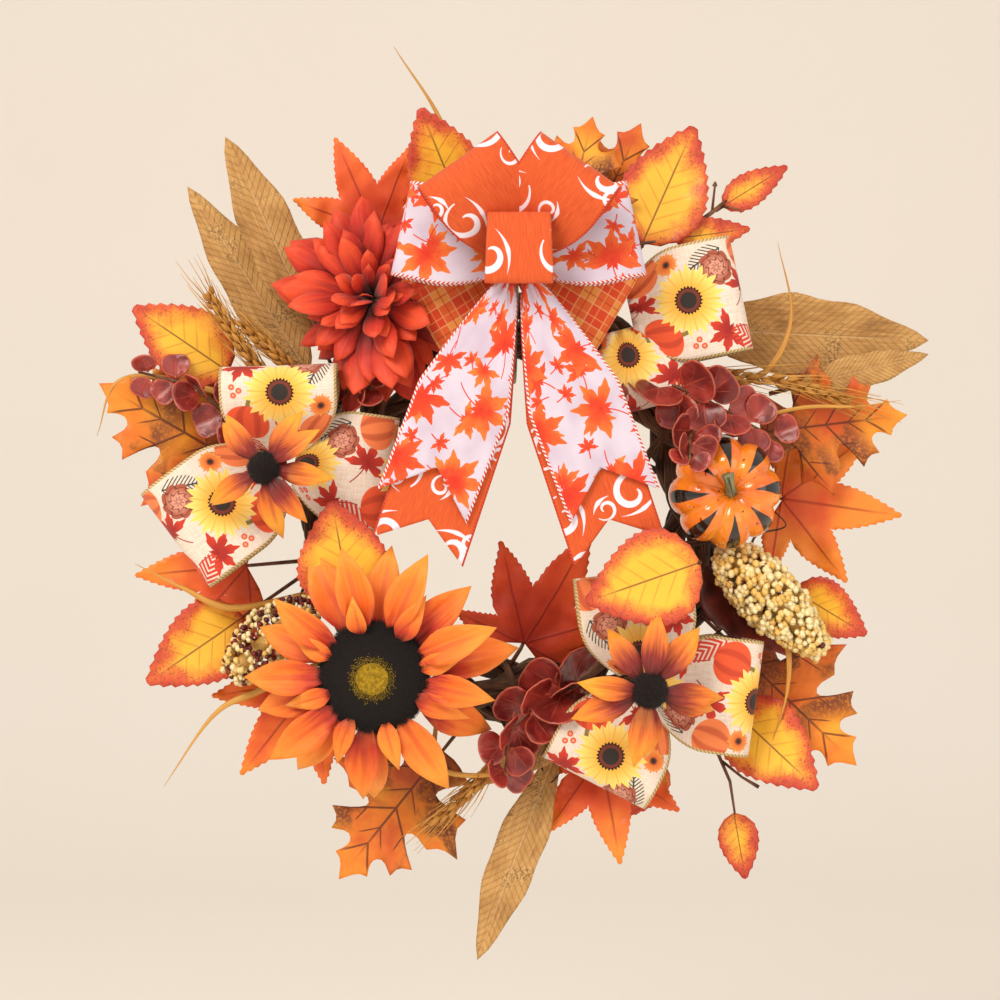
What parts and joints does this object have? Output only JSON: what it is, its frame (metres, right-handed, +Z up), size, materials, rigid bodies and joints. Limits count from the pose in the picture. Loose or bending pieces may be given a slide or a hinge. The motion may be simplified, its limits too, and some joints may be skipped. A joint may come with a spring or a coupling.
{
  "type": "door wreath",
  "caption": "Harvest door wreath: grapevine ring on a wire hanger with artificial autumn leaves, flowers, grain, pumpkin, printed ribbon and a bow with two hanging tails.",
  "frame": {"origin": "the point inside the top of the wire hanger's eye, where it bears on its hook", "axes": "+Z up, -Y towards the viewer, +Y towards the door, +X to the viewer's right"},
  "size_m": [0.4509, 0.1439, 0.4817],
  "materials": {
    "vine_bark": "dark twisted grapevine bark, matte",
    "wire": "soft floral wire, satin",
    "orange_ribbon": "orange linen-weave ribbon with stitched red edge",
    "maple_ribbon": "white woven ribbon printed with orange leaves, whip-stitched edge",
    "plaid_ribbon": "orange and red checked woven ribbon",
    "cream_ribbon": "cream linen ribbon with printed flowers and gold stitched edge",
    "orange_petal": "stiffened petal cloth, orange shaded to red",
    "gold_petal": "stiffened petal cloth, golden with dark red root",
    "red_petal": "stiffened petal cloth, red-orange",
    "flower_centre": "black flocking",
    "pumpkin_skin": "lacquered foam, orange with dark grooves",
    "pumpkin_stalk": "moulded grey-green stalk",
    "oak_leaf": "printed leaf cloth, golden orange with brown blotches and veins",
    "maple_leaf": "printed leaf cloth, red-orange with fine veins",
    "birch_leaf": "printed leaf cloth, yellow with red speckled edge",
    "tan_leaf": "printed leaf cloth, mottled tan with herringbone veins",
    "grass": "narrow moulded grass blade, tan",
    "eucalyptus": "moulded round leaves, translucent burgundy",
    "straw": "moulded wheat ears, straw gold",
    "seed": "clustered seed pods, cream and gold with dark red dots"
  },
  "bodies": {
    "hanger": {"hanger_loop": "wire"},
    "wreath": {"binding_vine": "vine_bark", "birch_leaf_low": "birch_leaf", "birch_leaf_lower_left": "birch_leaf", "birch_leaf_over_left": "birch_leaf", "birch_leaf_over_low": "birch_leaf", "birch_leaf_right": "birch_leaf", "birch_leaf_top": "birch_leaf", "birch_leaf_upper_left": "birch_leaf", "birch_spray_high": "birch_leaf", "bow_knot": "orange_ribbon", "bow_maple_loops": "maple_ribbon", "bow_orange_loops": "orange_ribbon", "bow_plaid_loops": "plaid_ribbon", "bow_tie_wire": "wire", "chrysanthemum": "red_petal", "coneflower_left_centre": "flower_centre", "coneflower_left_petals": "gold_petal", "coneflower_low_centre": "flower_centre", "coneflower_low_petals": "gold_petal", "cream_high_loop_1": "cream_ribbon", "cream_left_loop_1": "cream_ribbon", "cream_left_loop_2": "cream_ribbon", "cream_left_loop_3": "cream_ribbon", "cream_low_loop_1": "cream_ribbon", "cream_low_loop_2": "cream_ribbon", "cream_low_loop_3": "cream_ribbon", "eucalyptus_bottom": "eucalyptus", "eucalyptus_left": "eucalyptus", "eucalyptus_right": "eucalyptus", "grass_top": "grass", "maple_leaf_bottom": "maple_leaf", "maple_leaf_inner": "maple_leaf", "maple_leaf_left": "maple_leaf", "maple_leaf_low": "maple_leaf", "maple_leaf_right": "maple_leaf", "maple_leaf_top": "maple_leaf", "oak_leaf_bottom": "oak_leaf", "oak_leaf_left": "oak_leaf", "oak_leaf_low": "oak_leaf", "oak_leaf_right": "oak_leaf", "oak_leaf_top": "oak_leaf", "pumpkin_body": "pumpkin_skin", "pumpkin_stalk": "pumpkin_stalk", "sorghum_right": "seed", "sunflower_centre": "flower_centre", "sunflower_petals": "orange_petal", "tan_leaf_bottom": "tan_leaf", "tan_leaf_right": "tan_leaf", "tan_leaf_top_1": "tan_leaf", "tan_leaf_top_2": "tan_leaf", "vine_strand_1": "vine_bark", "vine_strand_2": "vine_bark", "vine_strand_3": "vine_bark", "wheat_left": "straw", "wheat_right": "straw"},
    "left_tail": {"tail_left_maple": "maple_ribbon", "tail_left_orange": "orange_ribbon"},
    "right_tail": {"tail_right_maple": "maple_ribbon", "tail_right_orange": "orange_ribbon"}
  },
  "joints": [
    {"name": "wreath_swing", "type": "hinge", "parent": "hanger", "child": "wreath", "pos_m": [0, -0.014, -0.04376], "axis": [-1, 0, 0], "range_deg": [0, 35]},
    {"name": "left_tail_lift", "type": "hinge", "parent": "wreath", "child": "left_tail", "pos_m": [-0.0078, -0.105, -0.03126], "axis": [-1, 0, 0], "range_deg": [0, 70]},
    {"name": "right_tail_lift", "type": "hinge", "parent": "wreath", "child": "right_tail", "pos_m": [0.0078, -0.105, -0.03126], "axis": [-1, 0, 0], "range_deg": [0, 70]}
  ]
}
